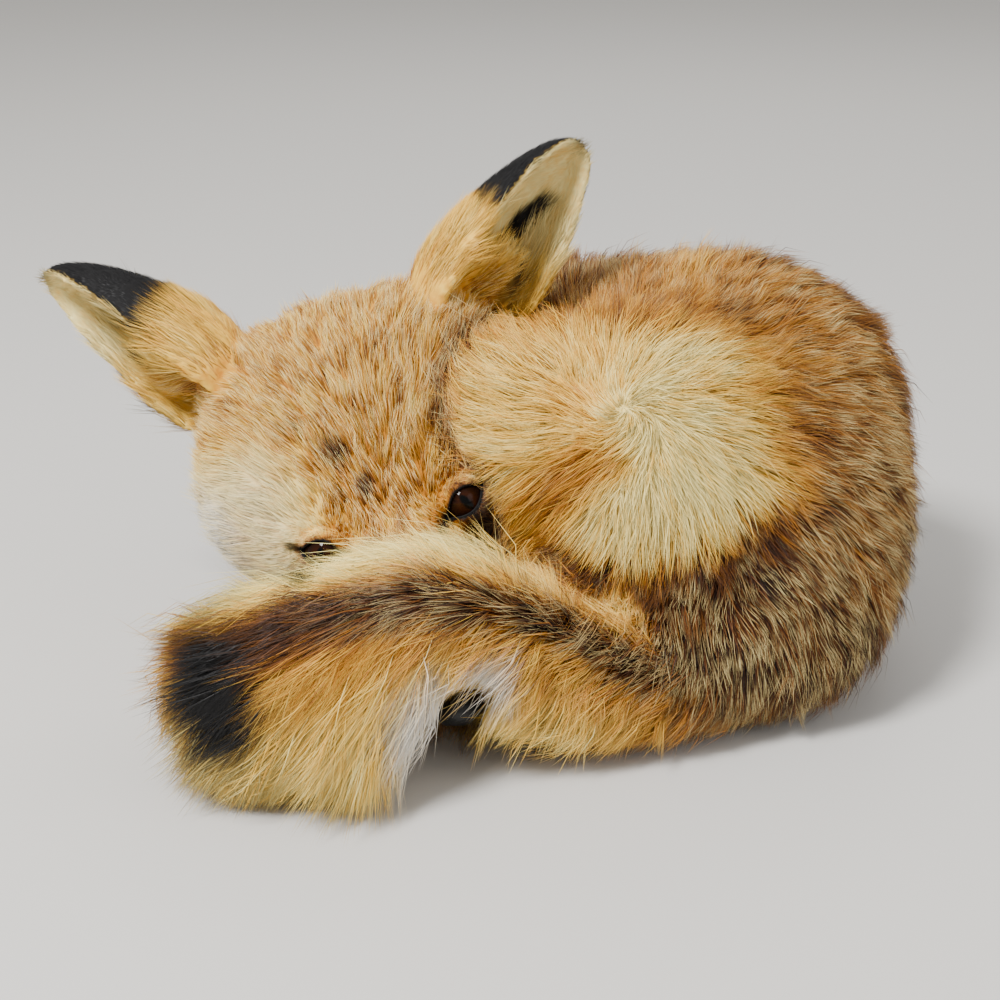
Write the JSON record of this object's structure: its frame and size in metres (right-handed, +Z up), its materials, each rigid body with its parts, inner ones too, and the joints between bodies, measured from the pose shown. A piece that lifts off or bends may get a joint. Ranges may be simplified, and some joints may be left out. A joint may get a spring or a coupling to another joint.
{
  "type": "taxidermy fox",
  "caption": "Red fox curled up asleep, nose down, with its bushy tail wrapped across its muzzle and its hindquarters round beside its head.",
  "frame": {"origin": "centre of the bounding box at floor level", "axes": "+X towards the hindquarters, from the ear on the far side of the head; -Y towards the side the face and the tail lie on; +Z up"},
  "size_m": [0.3508, 0.287, 0.2047],
  "materials": {
    "fur": "soft guard hair over wool",
    "fur_dark": "short dense hair",
    "eye_glass": "polished",
    "nose_leather": "fine pebbled, slightly moist"
  },
  "bodies": {
    "root": {"head": "fur", "nose": "nose_leather", "eye_left": "eye_glass", "eye_right": "eye_glass", "ear_left": "fur_dark", "ear_right": "fur_dark", "neck": "fur", "trunk": "fur", "hind_leg_left": "fur", "hind_leg_right": "fur", "fore_leg_left": "fur_dark", "fore_leg_right": "fur_dark", "tail_base": "fur", "tail_middle": "fur", "tail_tip": "fur"}
  },
  "joints": []
}
